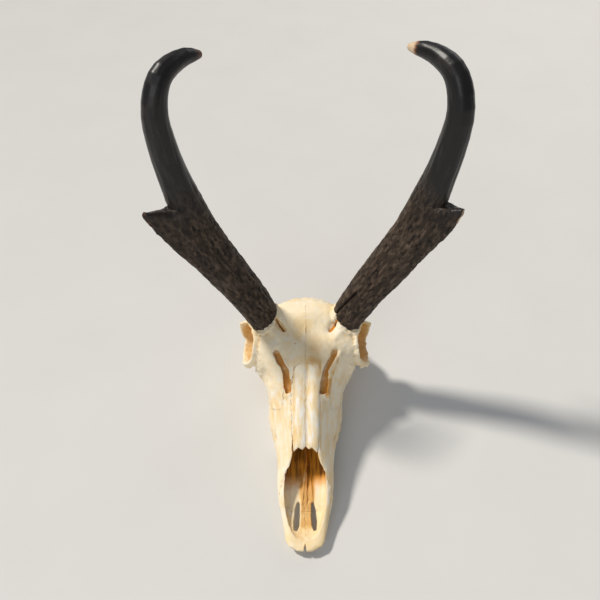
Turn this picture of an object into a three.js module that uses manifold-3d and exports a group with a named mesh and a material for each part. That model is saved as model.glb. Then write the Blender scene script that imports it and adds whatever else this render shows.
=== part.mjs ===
import * as THREE from 'three';
import { mergeVertices } from 'three/addons/utils/BufferGeometryUtils.js';
import Module from 'manifold-3d';

const wasm = await Module();
wasm.setup();

// A pronghorn skull with its horn sheaths, lying on its teeth. Millimetres: x to the animal's own
// left, y back from the tip of the snout, z up from the floor.

// Driving dimensions.
const SKULL_LENGTH = 280;
const SUTURE_GAP = 0.3;
const NASAL_TIP = { y: 84, z: 60 };
const NASION = { y: 165, z: 100 };
const TOOTH_ROW = { front: 104, widest: 154, out: 34, bow: 0.0021 };
const ORBIT = { x: 66, y: 205, z: 85, outer: 26.5, inner: 22, depth: 37 };
const ORBIT_FACING = new THREE.Vector3(0.911, -0.276, 0.3).normalize();
const FAR_ACROSS = 2 * SKULL_LENGTH;

// Outer form of the skull at stations from the snout back: heights of the dorsal and ventral
// midline, and the half width and height of the roof edge, cheek, jaw side and base.
const OUTER = [
  { y: -3.5, top: 13.2, roof: [5, 13.1], cheek: [8.5, 11.6], side: [8, 9.8], base: [5, 9], keel: 9 },
  { y: -1, top: 14, roof: [10, 13.8], cheek: [14.6, 12], side: [13.6, 9.6], base: [9, 8.5], keel: 8.5 },
  { y: 4, top: 15, roof: [15, 14.6], cheek: [19.2, 12.2], side: [18, 9.2], base: [12, 7.9], keel: 8 },
  { y: 10, top: 15.6, roof: [17, 15.4], cheek: [20.4, 12.8], side: [19.4, 9], base: [14, 7.6], keel: 7.8 },
  { y: 22, top: 18, roof: [19.5, 18.2], cheek: [23, 14.2], side: [21.5, 9.6], base: [15, 7.6], keel: 8 },
  { y: 42, top: 27, roof: [23, 27.5], cheek: [28, 21], side: [25, 13], base: [17, 10], keel: 10.5 },
  { y: 62, top: 38, roof: [21.5, 39], cheek: [30, 28], side: [28, 17], base: [19, 13.5], keel: 14 },
  { y: 84, top: 60, roof: [15, 57.5], cheek: [30.4, 33], side: [29.5, 19], base: [22, 15.5], keel: 16.5 },
  { y: 106, top: 71, roof: [14.6, 68.6], cheek: [33, 37], side: [34.6, 21.5], base: [29, 14], keel: 17 },
  { y: 122, top: 79, roof: [15.4, 76.6], cheek: [35.8, 42], side: [39.6, 24], base: [33, 13.5], keel: 17 },
  { y: 142, top: 88.6, roof: [17.4, 86.4], cheek: [39.8, 48], side: [42.4, 27], base: [35, 13.5], keel: 17 },
  { y: 160, top: 97.6, roof: [25, 94.6], cheek: [44, 62], side: [43.4, 36], base: [35, 16], keel: 18 },
  { y: 172, top: 103.4, roof: [33, 99.8], cheek: [49, 75], side: [48, 50], base: [30, 24], keel: 25 },
  { y: 183, top: 108.8, roof: [40, 105], cheek: [56, 86], side: [54, 61], base: [26, 34], keel: 33 },
  { y: 193, top: 113, roof: [44, 109], cheek: [59, 96], side: [38, 60], base: [22, 39], keel: 36 },
  { y: 206, top: 118, roof: [46, 114], cheek: [59, 105], side: [28, 63], base: [20, 40], keel: 37 },
  { y: 222, top: 122, roof: [45, 117], cheek: [55, 105], side: [29, 63], base: [20, 40], keel: 36 },
  { y: 236, top: 121, roof: [35, 113], cheek: [42, 90], side: [33, 59], base: [21, 38], keel: 34 },
  { y: 250, top: 111, roof: [27, 103], cheek: [36, 78], side: [34, 53], base: [22, 35], keel: 31 },
  { y: 261, top: 98, roof: [26, 91], cheek: [38, 68], side: [36, 47], base: [22, 31], keel: 29 },
  { y: 266, top: 90, roof: [24, 84], cheek: [35, 64], side: [32, 45], base: [19, 31], keel: 30 },
  { y: 269, top: 80, roof: [20, 76], cheek: [29, 59], side: [27, 43], base: [16, 32], keel: 32 },
  { y: 272, top: 70, roof: [14, 68], cheek: [20, 56], side: [19, 44], base: [12, 34], keel: 34 },
];

// The nasal cavity, from the shallow dish behind the snout pad to under the hind nasals.
const CAVITY = [
  { y: 8, top: 30, roof: [8, 28], cheek: [10, 17.5], side: [9, 15.6], base: [6, 14.8], keel: 14.6 },
  { y: 16, top: 34, roof: [14, 32], cheek: [15.5, 19], side: [14, 15], base: [10, 13.2], keel: 12.9 },
  { y: 26, top: 38, roof: [16.5, 36], cheek: [18.6, 21], side: [18, 15.5], base: [13, 12.4], keel: 12 },
  { y: 42, top: 46, roof: [18.8, 42], cheek: [22.2, 24], side: [21.5, 18], base: [16, 14.4], keel: 14 },
  { y: 62, top: 54, roof: [17.8, 48], cheek: [23.4, 31], side: [23, 22.5], base: [17, 18.2], keel: 18 },
  { y: 84, top: 56, roof: [12, 53], cheek: [25, 36], side: [23.5, 26], base: [17, 21.2], keel: 21 },
  { y: 106, top: 67, roof: [11, 64], cheek: [23, 43], side: [21.5, 30], base: [15, 23.4], keel: 22.6 },
  { y: 128, top: 78, roof: [10.5, 75], cheek: [20, 49], side: [18.5, 34], base: [13, 26.6], keel: 25.4 },
  { y: 150, top: 88, roof: [9, 84], cheek: [14, 56], side: [13, 42], base: [9, 33], keel: 31.6 },
];

// Horn sheaths: the line of the beam on either side, its half sizes across, and how one differs.
const HORN_LINE = [
  [46, 220.5, 117],
  [66, 226, 158],
  [84, 229, 195],
  [101, 233, 233],
  [113.5, 235, 274],
  [122, 236.5, 325],
  [122.5, 238, 364],
  [115, 249, 386],
  [100, 270, 391],
  [86.6, 283, 388],
];
const HORN_GIRTH = [
  { at: 0, front: 20.5, back: 16.8, thick: 14.4 },
  { at: 0.06, front: 21.2, back: 18, thick: 14.8 },
  { at: 0.25, front: 26, back: 18.5, thick: 14 },
  { at: 0.38, front: 31.5, back: 17.5, thick: 13.4 },
  { at: 0.46, front: 37.5, back: 17, thick: 13 },
  { at: 0.485, front: 38.5, back: 17, thick: 13 },
  { at: 0.498, front: 35, back: 17, thick: 13 },
  { at: 0.51, front: 17.5, back: 16.8, thick: 13 },
  { at: 0.56, front: 15.4, back: 15.6, thick: 12.6 },
  { at: 0.7, front: 12.6, back: 12.6, thick: 11.6 },
  { at: 0.84, front: 10.2, back: 10.2, thick: 10 },
  { at: 0.93, front: 7.8, back: 7.8, thick: 7.6 },
  { at: 0.975, front: 5.6, back: 5.6, thick: 5.4 },
  { at: 1, front: 2.6, back: 2.6, thick: 2.6 },
];
const BLADE_FACING = new THREE.Vector3(0.72, -0.66, 0);
const HOOK_FACING = new THREE.Vector3(0.4, -0.2, 0.9);
const PRONG_RISE = 0.8;
const MOUTH_SLANT = 0.32;
const MOUTH_SHARE = 0.06;
const HORNS = [
  { name: 'horn_left', side: 1, sway: 5, reach: 7, lift: 3 },
  { name: 'horn_right', side: -1, sway: 0, reach: 0, lift: 0 },
];

const BONE = { color: 0xe6d6b4, roughness: 0.55, metalness: 0 };
const FACE_BONE = { color: 0xe9dcc0, roughness: 0.5, metalness: 0 };
const HORN = { color: 0x2a221d, roughness: 0.42, metalness: 0 };

// Closed geometry as a solid, turned right side out.
function solidOf(geometry) {
  const bare = geometry.index ? geometry.toNonIndexed() : geometry.clone();
  bare.deleteAttribute('normal');
  bare.deleteAttribute('uv');
  const merged = mergeVertices(bare, 1e-4);
  const index = merged.index.array;
  const place = merged.attributes.position;
  const corners = [0, 1, 2].map(() => new THREE.Vector3());
  const faces = [];
  let volume = 0;
  for (let i = 0; i < index.length; i += 3) {
    const face = [index[i], index[i + 1], index[i + 2]];
    if (new Set(face).size < 3) continue;
    faces.push(face);
    face.forEach((vertex, k) => corners[k].fromBufferAttribute(place, vertex));
    volume += corners[0].dot(corners[1].clone().cross(corners[2]));
  }
  const triVerts = Uint32Array.from(faces.flatMap(([a, b, c]) => (volume > 0 ? [a, b, c] : [a, c, b])));
  return new wasm.Manifold(new wasm.Mesh({ numProp: 3, vertProperties: place.array, triVerts }));
}

function geometryOf(solid) {
  const { vertProperties, triVerts } = solid.getMesh();
  const geometry = new THREE.BufferGeometry();
  geometry.setAttribute('position', new THREE.BufferAttribute(vertProperties, 3));
  geometry.setIndex(new THREE.BufferAttribute(triVerts, 1));
  return geometry;
}

function largest(solid) {
  const bodies = solid.decompose();
  return bodies.reduce((best, body) => (body.volume() > best.volume() ? body : best));
}

const join = (solids) => solids.reduce((whole, piece) => whole.add(piece));
const range = (count) => Array.from({ length: count }, (_, i) => i);
const bothSides = (make) => [1, -1].map(make);

// Closed skin over rings of points that all go round the same way.
function loft(rings) {
  const around = rings[0].length;
  const middle = (ring) => ring.reduce((sum, p) => sum.add(p), new THREE.Vector3()).divideScalar(around);
  const points = [...rings.flat(), middle(rings[0]), middle(rings.at(-1))];
  const index = [];
  for (const i of range(rings.length - 1)) {
    for (const j of range(around)) {
      const a = i * around + j;
      const b = i * around + (j + 1) % around;
      index.push(a, b, b + around, a, b + around, a + around);
    }
  }
  const front = rings.length * around;
  const rear = front + 1;
  const lastRing = (rings.length - 1) * around;
  for (const j of range(around)) {
    const next = (j + 1) % around;
    index.push(front, next, j, rear, lastRing + j, lastRing + next);
  }
  const geometry = new THREE.BufferGeometry().setFromPoints(points);
  geometry.setIndex(index);
  return geometry;
}

// Sizes between stations, smoothly.
function between(stations, key) {
  const rows = stations.map((station) => Object.values(station).flat());
  const across = rows[0].length;
  const curve = new THREE.CubicInterpolant(stations.map((s) => s[key]), rows.flat(), across);
  return (at) => Array.from(curve.evaluate(at));
}

// A round-cornered section of the skull in the plane of one station.
function section(sizes, around) {
  const [y, top, roofX, roofZ, cheekX, cheekZ, sideX, sideZ, baseX, baseZ, keel] = sizes;
  const edge = [[roofX, roofZ], [cheekX, cheekZ], [sideX, sideZ], [baseX, baseZ]];
  const outline = [
    new THREE.Vector3(0, y, top),
    ...edge.map(([x, z]) => new THREE.Vector3(x, y, z)),
    new THREE.Vector3(0, y, keel),
    ...edge.reverse().map(([x, z]) => new THREE.Vector3(-x, y, z)),
  ];
  const curve = new THREE.CatmullRomCurve3(outline, true, 'centripetal');
  return range(around).map((i) => curve.getPoint(i / around));
}

function skullLoft(stations, steps, around) {
  const sizesAt = between(stations, 'y');
  const first = stations[0].y;
  const length = stations.at(-1).y - first;
  const places = range(steps + 1).map((i) => first + length * (i / steps) ** 1.15);
  return solidOf(loft(places.map((y) => section(sizesAt(y), around))));
}

// Oval tube along a line. Its wide side faces as given; sizes are [front, back, thick], with the front
// lifted by rise past the back's reach and the ring slanted down forwards by slant.
function tube(line, steps, around, sizesAt, facing) {
  const curve = new THREE.CatmullRomCurve3(line.map((p) => new THREE.Vector3(...p)));
  const rings = range(steps.length).map((i) => {
    const t = steps[i];
    const centre = curve.getPointAt(t);
    const along = curve.getTangentAt(t);
    const towards = facing(t);
    const wide = towards.addScaledVector(along, -towards.dot(along)).normalize();
    const thick = along.clone().cross(wide);
    const [front, back, depth, rise = 0, slant = 0] = sizesAt(t);
    return range(around).map((j) => {
      const angle = (2 * Math.PI * j) / around;
      const out = Math.cos(angle);
      const reach = out > 0 ? front * out : back * out;
      const narrowing = Math.min(1, back / Math.max(reach, back));
      const offset = wide.clone()
        .multiplyScalar(reach)
        .addScaledVector(thick, depth * Math.sin(angle) * narrowing);
      return centre.clone()
        .add(offset)
        .addScaledVector(along, rise * Math.max(0, reach - back) + slant * offset.y);
    });
  });
  return solidOf(loft(rings));
}

const towards = (...direction) => () => new THREE.Vector3(...direction);
const evenly = (count) => range(count + 1).map((i) => i / count);

function ball(centre, radii, around = 16) {
  const geometry = new THREE.SphereGeometry(1, around, around / 2);
  return solidOf(geometry.scale(...radii).translate(...centre));
}

function block(size, centre) {
  return solidOf(new THREE.BoxGeometry(...size).translate(...centre));
}

// Prism over an outline drawn in the side view, right across the skull.
function sidePrism(outline) {
  const shape = new THREE.Shape(outline.map(([y, z]) => new THREE.Vector2(y, z)));
  const geometry = new THREE.ExtrudeGeometry(shape, { depth: FAR_ACROSS, bevelEnabled: false });
  const turn = new THREE.Matrix4().makeBasis(
    new THREE.Vector3(0, 1, 0), new THREE.Vector3(0, 0, 1), new THREE.Vector3(1, 0, 0));
  return solidOf(geometry.applyMatrix4(turn).translate(-FAR_ACROSS / 2, 0, 0));
}

// Prism over an outline drawn on the sloping plane of the nasal bones.
const ROOF_SLOPE = Math.atan2(NASION.z - NASAL_TIP.z, NASION.y - NASAL_TIP.y);
function roofPrism(outline, below, above) {
  const upSlope = (y) => (y - NASAL_TIP.y) / Math.cos(ROOF_SLOPE);
  const shape = new THREE.Shape(outline.map(([x, y]) => new THREE.Vector2(x, upSlope(y))));
  const geometry = new THREE.ExtrudeGeometry(shape, { depth: below + above, bevelEnabled: false });
  geometry.translate(0, 0, -below).rotateX(ROOF_SLOPE).translate(0, NASAL_TIP.y, NASAL_TIP.z);
  return solidOf(geometry);
}

// Prism straight down through the skull over an outline seen from above.
function plumbPrism(outline, from, to) {
  const shape = new THREE.Shape(outline.map(([x, y]) => new THREE.Vector2(x, y)));
  const geometry = new THREE.ExtrudeGeometry(shape, { depth: to - from, bevelEnabled: false });
  return solidOf(geometry.translate(0, 0, from));
}

// A long rounded slot between two places seen from above, as an outline.
function slot([x0, y0], [x1, y1], half, around = 12) {
  const lean = Math.atan2(y1 - y0, x1 - x0);
  return range(around).map((i) => {
    const angle = lean + Math.PI / 2 + (2 * Math.PI * (i + 0.5)) / around;
    const [x, y] = i < around / 2 ? [x0, y0] : [x1, y1];
    return [x + half * Math.cos(angle), y + half * Math.sin(angle)];
  });
}

// Orbits: a projecting ring of bone and the socket cut inside it, both turned about the facing.
function orbitTurned(profile, side, around) {
  const points = profile.map(([radius, along]) => new THREE.Vector2(radius, along));
  const turn = new THREE.Quaternion().setFromUnitVectors(new THREE.Vector3(0, 1, 0), ORBIT_FACING);
  const geometry = new THREE.LatheGeometry(points, around).applyQuaternion(turn);
  return solidOf(geometry.translate(ORBIT.x, ORBIT.y, ORBIT.z).scale(side, 1, 1));
}

const orbitRing = (side) => orbitTurned([
  [ORBIT.inner - 1, -15],
  [ORBIT.inner - 1, 0],
  [ORBIT.inner + 1.4, 1.6],
  [ORBIT.outer - 1.2, 1],
  [ORBIT.outer, -3],
  [ORBIT.outer + 0.6, -9],
  [ORBIT.outer - 0.6, -15],
  [ORBIT.inner - 1, -15],
], side, 26);

const orbitSocket = (side) => orbitTurned([
  [0, -ORBIT.depth],
  [0.42 * ORBIT.inner, -0.96 * ORBIT.depth],
  [0.74 * ORBIT.inner, -0.78 * ORBIT.depth],
  [0.93 * ORBIT.inner, -0.46 * ORBIT.depth],
  [ORBIT.inner, -0.12 * ORBIT.depth],
  [ORBIT.inner + 1.5, 4],
  [ORBIT.inner + 3, 20],
  [0, 20],
], side, 26);

// Cheek arch from under the orbit back to the ear.
const cheekArch = (side) => tube(
  [[66, 192, 60], [68, 206, 57], [66, 224, 56], [60, 240, 56], [48, 251, 57], [34, 254, 56]]
    .map(([x, y, z]) => [side * x, y, z]),
  evenly(10), 10, (t) => [8.2 - 2.4 * t, 8.2 - 2.4 * t, 3.4 - 0.6 * t], towards(0, 0, 1));

// Stump of the horn core, up to the mouth of its sheath.
const hornCore = (side) => tube(
  [[37, 215, 96], [41, 217.5, 107], [48.3, 221.8, 122.6]].map(([x, y, z]) => [side * x, y, z]),
  evenly(4), 20, (t) => [22 - 5 * t, 20 - 4 * t, 17 - 5 * t],
  towards(side * BLADE_FACING.x, BLADE_FACING.y, 0));

// Underside and back of the braincase.
const barNotch = (side) => ball([side * 79.5, 224, 80.5], [13, 14.5, 16.5]);
const bulla = (side) => ball([side * 18, 243, 34], [8, 13, 9.5]);
const condyle = (side) => ball([side * 12.5, 270, 38], [8.5, 10.5, 12.5]);
const paroccipital = (side) => tube(
  [[26, 262, 52], [28.5, 261, 33], [28.5, 258.5, 15], [28, 256.5, -2]].map(([x, y, z]) => [side * x, y, z]),
  evenly(6), 10, (t) => [12 - 7.6 * t, 11 - 6.6 * t, 5 - 2 * t], towards(0, 1, 0));
const pterygoid = (side) => tube(
  [[14, 170, 22], [13, 182, 26], [12, 196, 31], [12, 210, 38]].map(([x, y, z]) => [side * x, y, z]),
  evenly(6), 10, (t) => [9 - 3 * t, 9 - 3 * t, 1.9], towards(0, 0.3, 1));

// Cheek teeth: three premolars and three molars each side, two-lobed behind, crowns flat on the floor.
const TEETH = [
  { length: 8.6, width: 7.6, lobes: 0.02 },
  { length: 9, width: 8.8, lobes: 0.03 },
  { length: 9.2, width: 9.8, lobes: 0.04 },
  { length: 12.6, width: 11.4, lobes: 0.12 },
  { length: 14, width: 12, lobes: 0.13 },
  { length: 14.6, width: 11.6, lobes: 0.13 },
];
const TOOTH_GAP = 0.25;
const TOOTH_CORNERS = 12;
const rowBow = (y) => TOOTH_ROW.out - TOOTH_ROW.bow * (TOOTH_ROW.widest - y) ** 2;

function tooth({ length, width, lobes }, y, side) {
  const heights = [[0, 0.95], [1.2, 1], [12, 1.02], [20, 0.9]];
  return solidOf(loft(heights.map(([z, grow]) => range(TOOTH_CORNERS).map((i) => {
    const angle = (2 * Math.PI * i) / TOOTH_CORNERS;
    const waist = 1 - lobes * (1 + Math.cos(4 * angle)) * Math.abs(Math.cos(angle));
    const rounded = (value) => Math.sign(value) * Math.abs(value) ** 0.8;
    return new THREE.Vector3(
      side * (rowBow(y) + 0.5 * width * grow * waist * rounded(Math.cos(angle))),
      y + 0.5 * length * grow * rounded(Math.sin(angle)),
      z);
  }))));
}

function toothRow(side) {
  let front = TOOTH_ROW.front;
  return TEETH.map((size) => {
    const middle = front + size.length / 2;
    front += size.length - TOOTH_GAP;
    return tooth(size, middle, side);
  });
}

// Scrolls of thin bone inside the nose, carried by the side walls.
const scroll = (side) => join([
  tube([[11, 98, 40], [11.5, 112, 45], [10.5, 130, 52], [9, 146, 60]].map(([x, y, z]) => [side * x, y, z]),
    evenly(6), 10, (t) => [8 - 2 * t, 8 - 2 * t, 4.6 - 1.4 * t], towards(0, 0.2, 1)),
  tube([[20, 102, 42], [20, 120, 48], [18, 146, 58]].map(([x, y, z]) => [side * x, y, z]),
    evenly(6), 8, () => [9, 9, 1.2], towards(1, 0, 0)),
]);

// Ploughshare bone on the floor of the nose, with a groove along its upper edge.
const vomerAt = (grow) => tube(
  [[0, 40, 13.6], [0, 56, 17.4], [0, 76, 23], [0, 100, 28], [0, 146, 40]],
  evenly(8), 10, (t) => [2 + 8 * t ** 0.7 + grow, 5 + grow, 1.7 + 0.9 * t + grow], towards(0, 0, 1));
const vomerGroove = tube([[0, 36, 16.6], [0, 44, 19], [0, 70, 28.2], [0, 100, 37], [0, 152, 52.4]],
  evenly(6), 8, () => [3.6, 3.6, 1.1], towards(0, 0, 1));

// Openings.
const cavity = skullLoft(CAVITY, 15, 20);
const narial = plumbPrism([
  [20, 58], [17.6, 70], [14.4, 79], [12.6, 84], [12, 96],
  [-12, 96], [-12.6, 84], [-14.4, 79], [-17.6, 70], [-20, 58],
], 42, 120);
const palateSlit = (side) => plumbPrism(
  [[6, 46], [5.6, 34], [6.6, 22], [9, 16], [12, 17], [12.6, 26], [11.4, 38], [9, 46]]
    .map(([x, y]) => [side * x, y]),
  0, 26);
const faceSlit = (side) => roofPrism(slot([side * 19.6, 141], [side * 22.6, 158], 3.9), 12, 20)
  .add(roofPrism(slot([side * 22.6, 158], [side * 32, 177], 3.3), 11, 20));
const browPit = (side) => tube(
  [[33, 211, 117], [28, 204, 115], [22, 196, 116]].map(([x, y, z]) => [side * x, y, z]),
  evenly(5), 10, (t) => [2.8 - 1.2 * t, 2.8 - 1.2 * t, 4.6 - 2.6 * t], towards(side, -0.7, 0));
const cheekHole = (side) => ball([side * 33, 109, 35], [5, 4.4, 3], 12);
const snoutNotch = plumbPrism([[-1.5, -6], [1.5, -6], [1, 0], [0, 4], [-1, 0]], 0, 30);
const nerveHole = ball([0, 274, 47], [9.5, 16, 8], 16);
const choana = ball([0, 188, 27], [9.5, 30, 9], 16);
const floorBelow = block([FAR_ACROSS, FAR_ACROSS, 40], [0, 140, -20]);

// The whole skull in one, before it is parted along its sutures.
const body = skullLoft(OUTER, 36, 38);
const braced = join([
  body,
  ...bothSides(orbitRing),
  ...bothSides(cheekArch),
  ...bothSides(hornCore),
  ...bothSides(bulla),
  ...bothSides(condyle),
  ...bothSides(paroccipital),
  ...bothSides(pterygoid),
]);
const hollowed = braced
  .subtract(join(bothSides(orbitSocket)))
  .subtract(join(bothSides(barNotch)))
  .subtract(cavity)
  .subtract(join(bothSides(palateSlit)))
  .subtract(join(bothSides(faceSlit)))
  .subtract(join(bothSides(browPit)))
  .subtract(join(bothSides(cheekHole)))
  .subtract(nerveHole)
  .subtract(snoutNotch)
  .subtract(choana)
  .subtract(floorBelow);

// Nasal bones: the roof of the nose, each with two points in front and a rounded hind end.
const NASAL_OUTLINE = [
  [0, 87.5], [3.2, 84.5], [7.4, 87], [12.4, 82], [13.4, 90], [14.2, 104], [15, 122],
  [16.4, 144], [15.4, 154], [12, 162], [6.5, 166], [0, 167],
];
const grown = ([x, y]) => [x + SUTURE_GAP, y > 100 ? y + SUTURE_GAP : y - 12];
const mirrored = (outline) => [...outline, ...outline.map(([x, y]) => [-x, y]).reverse()];
const nasalBlock = roofPrism(mirrored(NASAL_OUTLINE), 6, 20);
const nasalBed = roofPrism(mirrored(NASAL_OUTLINE.map(grown)), 6 + SUTURE_GAP, 20);
const nasals = body.intersect(nasalBlock).subtract(cavity);
const nasalsRemoved = hollowed.subtract(nasalBed).subtract(narial);

// Sutures in the side view, each [y, z] from the floor up. The frontal bones carry the orbits and horns.
const SNOUT_SUTURE = [[30, -20], [35, 12], [50, 26], [68, 43], [76, 58], [78, 140]];
const FACE_SUTURE = [
  [186, -20], [184, 20], [172, 34], [154, 42], [140, 49], [132.5, 56], [131, 63],
  [135, 70], [141, 77], [147, 84], [148.5, 92], [148, 140],
];
const CROWN_SUTURE = [[227, -20], [227, 42], [231, 60], [238, 80], [243, 96], [243, 140]];
const ahead = (suture, gap) => [...suture.map(([y, z]) => [y + gap, z]), [-60, 140], [-60, -20]];
const half = (side) => block(
  [FAR_ACROSS, FAR_ACROSS, FAR_ACROSS], [side * (FAR_ACROSS + SUTURE_GAP) / 2, 100, 0]);

const toFaceSuture = sidePrism(ahead(FACE_SUTURE, 0));
const toFaceSutureWide = sidePrism(ahead(FACE_SUTURE, SUTURE_GAP));
const toCrownSuture = sidePrism(ahead(CROWN_SUTURE, 0));
const toCrownSutureWide = sidePrism(ahead(CROWN_SUTURE, SUTURE_GAP));
const toSnoutSuture = sidePrism(ahead(SNOUT_SUTURE, 0));
const toSnoutSutureWide = sidePrism(ahead(SNOUT_SUTURE, SUTURE_GAP));

const face = nasalsRemoved.intersect(toFaceSuture).subtract(toSnoutSutureWide);
const snout = nasalsRemoved.intersect(toSnoutSuture);
const vomer = vomerAt(0).subtract(vomerGroove);
const vomerBed = vomerAt(SUTURE_GAP);

const maxilla = (side) => largest(join([
  face.intersect(half(side)),
  scroll(side).intersect(toFaceSuture),
  ...toothRow(side),
]).subtract(vomerBed));
const premaxilla = (side) => largest(snout.intersect(half(side)).subtract(vomerBed));
const nasal = (side) => largest(nasals.intersect(half(side)));

// Horn sheaths, each one flattened blade that ends in a forward prong and a hooked beam above it.
const HORN_STEPS = [
  0.03, 0.12, 0.18, 0.32, 0.42, 0.6, 0.65, 0.74, 0.77, 0.8, 0.82, 0.86, 0.88, 0.905, 0.955, 0.99,
];
const hornSteps = [...HORN_GIRTH.map(({ at }) => at), ...HORN_STEPS].sort((a, b) => a - b);
function hornSheath({ side, sway, reach, lift }, grow) {
  const girthAt = between(HORN_GIRTH, 'at');
  const line = HORN_LINE.map(([x, y, z], i) => {
    const late = (i / (HORN_LINE.length - 1)) ** 2;
    const middle = 4 * late * (1 - late);
    const lower = i === 0 ? grow : 0;
    return [side * (x + sway * middle), y + reach * late, z + lift * late - lower];
  });
  const facing = (t) => BLADE_FACING.clone()
    .lerp(HOOK_FACING, THREE.MathUtils.smoothstep(t, 0.56, 0.84))
    .multiply(new THREE.Vector3(side, 1, 1));
  const slantAt = (t) => MOUTH_SLANT * Math.max(0, 1 - t / MOUTH_SHARE);
  const sizesAt = (t) => [...girthAt(t).slice(1).map((size) => size + grow), PRONG_RISE, slantAt(t)];
  return tube(line, hornSteps, 18, sizesAt, facing);
}

const hornBeds = join(HORNS.map((horn) => hornSheath(horn, SUTURE_GAP)));
const behindFace = nasalsRemoved.subtract(toFaceSutureWide).subtract(hornBeds);
const brow = behindFace.intersect(toCrownSuture);
const frontal = (side) => largest(brow.intersect(half(side)));
const braincase = largest(behindFace.subtract(toCrownSutureWide));

const bodies = [
  ['braincase', braincase, BONE],
  ['frontal_left', frontal(1), BONE],
  ['frontal_right', frontal(-1), BONE],
  ['maxilla_left', maxilla(1), FACE_BONE],
  ['maxilla_right', maxilla(-1), FACE_BONE],
  ['premaxilla_left', premaxilla(1), FACE_BONE],
  ['premaxilla_right', premaxilla(-1), FACE_BONE],
  ['nasal_left', nasal(1), FACE_BONE],
  ['nasal_right', nasal(-1), FACE_BONE],
  ['vomer', vomer, BONE],
  ...HORNS.map((horn) => [horn.name, hornSheath(horn, 0), HORN]),
];

const root = new THREE.Group();
const box = new THREE.Box3();
for (const [name, solid, material] of bodies) {
  const mesh = new THREE.Mesh(geometryOf(solid), new THREE.MeshStandardMaterial(material));
  mesh.name = name;
  root.add(mesh);
  box.expandByObject(mesh);
}

// The origin is on the floor under the middle of the whole.
const middle = box.getCenter(new THREE.Vector3());
root.children.forEach((mesh) => mesh.geometry.translate(-middle.x, -middle.y, 0));

export default root;
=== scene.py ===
# %% [markdown]
# # A pronghorn skull
# The skull lies on its cheek teeth with the snout towards us and the two horn sheaths rising from the
# brow. The solids give its true size and outline. This lesson dresses each of them: bone that is
# smooth, pitted, seamed and stained, and horn that is rough below and polished above. All of it could
# be sculpted by hand, but measures in a script can be read, repeated and corrected.

# %% The frame
import math
from itertools import product

import bmesh
import bpy
import numpy as np
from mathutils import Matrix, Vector
from mathutils.bvhtree import BVHTree
from mathutils.kdtree import KDTree


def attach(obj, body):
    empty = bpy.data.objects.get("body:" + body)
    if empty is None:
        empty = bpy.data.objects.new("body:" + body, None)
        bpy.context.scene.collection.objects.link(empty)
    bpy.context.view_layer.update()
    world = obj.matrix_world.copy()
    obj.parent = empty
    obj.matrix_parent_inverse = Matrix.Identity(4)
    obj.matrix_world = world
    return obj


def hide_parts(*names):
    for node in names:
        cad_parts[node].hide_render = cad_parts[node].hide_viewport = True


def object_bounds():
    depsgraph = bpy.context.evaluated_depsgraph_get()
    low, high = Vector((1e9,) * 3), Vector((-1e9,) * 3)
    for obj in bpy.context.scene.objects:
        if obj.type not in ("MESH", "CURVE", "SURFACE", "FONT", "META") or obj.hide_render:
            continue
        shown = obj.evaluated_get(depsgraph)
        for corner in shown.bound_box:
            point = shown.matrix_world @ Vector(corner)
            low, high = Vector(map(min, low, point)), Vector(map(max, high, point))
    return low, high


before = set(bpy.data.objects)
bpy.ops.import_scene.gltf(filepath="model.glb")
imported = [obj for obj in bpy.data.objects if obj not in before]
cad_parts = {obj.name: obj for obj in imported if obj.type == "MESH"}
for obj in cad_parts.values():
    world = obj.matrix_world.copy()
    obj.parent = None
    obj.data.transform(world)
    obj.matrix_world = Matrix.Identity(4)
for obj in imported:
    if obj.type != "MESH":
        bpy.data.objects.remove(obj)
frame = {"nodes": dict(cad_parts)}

SOLID_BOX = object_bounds()
SNOUT_REACH = 3.5
STATION_ZERO = SOLID_BOX[0].y * 1000 + SNOUT_REACH
print("solids from", [round(v, 4) for v in SOLID_BOX[0]], "to", [round(v, 4) for v in SOLID_BOX[1]])

# %% [markdown]
# ## Reading and writing a mesh as arrays
# Bone has no straight edges, so its form is worked on as an array of points. A loop over single points
# would do the same and take minutes. All measures in this lesson are millimetres from the tip of the
# snout: x to the animal's left, y backwards and z up.

# %% Points in skull millimetres
def points_of(mesh):
    flat = np.empty(len(mesh.vertices) * 3)
    mesh.vertices.foreach_get("co", flat)
    return flat.reshape(-1, 3) * 1000 - [0, STATION_ZERO, 0]


def set_points(mesh, points):
    mesh.vertices.foreach_set("co", ((points + [0, STATION_ZERO, 0]) / 1000).ravel())
    mesh.update()


def normals_of(mesh):
    flat = np.empty(len(mesh.vertices) * 3)
    mesh.vertex_normals.foreach_get("vector", flat)
    return flat.reshape(-1, 3)


def edges_of(mesh):
    flat = np.empty(len(mesh.edges) * 2, int)
    mesh.edges.foreach_get("vertices", flat)
    return flat.reshape(-1, 2)


def keep(mesh, name, values):
    layer = mesh.attributes.new(name, "FLOAT", "POINT")
    layer.data.foreach_set("value", np.ascontiguousarray(values, np.float32))


print("the braincase ends", round(points_of(frame["nodes"]["braincase"].data)[:, 1].max()), "mm back")

# %% [markdown]
# ## Noise
# Wear, growth and weather are never even. Blender's own textures could give that, but they are not
# there for arrays. A lattice of random values, blended between its corners, gives soft lumps, and
# several sizes of them together give the clouds of a natural surface.

# %% Lumps and clouds
LATTICE = 32
LATTICE_START = 7.3
OCTAVE_SHIFT = 31.7
RANDOM = np.random.default_rng(12).random((LATTICE,) * 3)


def lumps(points, size):
    cells = points / size + LATTICE_START
    base = np.floor(cells).astype(int)
    share = cells - base
    share = share * share * (3 - 2 * share)
    total = np.zeros(len(points))
    for corner in product((0, 1), repeat=3):
        near = np.where(corner, share, 1 - share).prod(1)
        total += near * RANDOM[tuple(((base + corner) % LATTICE).T)]
    return 2 * total - 1


def clouds(points, size, octaves=3):
    return sum(lumps(points + OCTAVE_SHIFT * k, size / 2**k) / 2**k for k in range(octaves))


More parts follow.
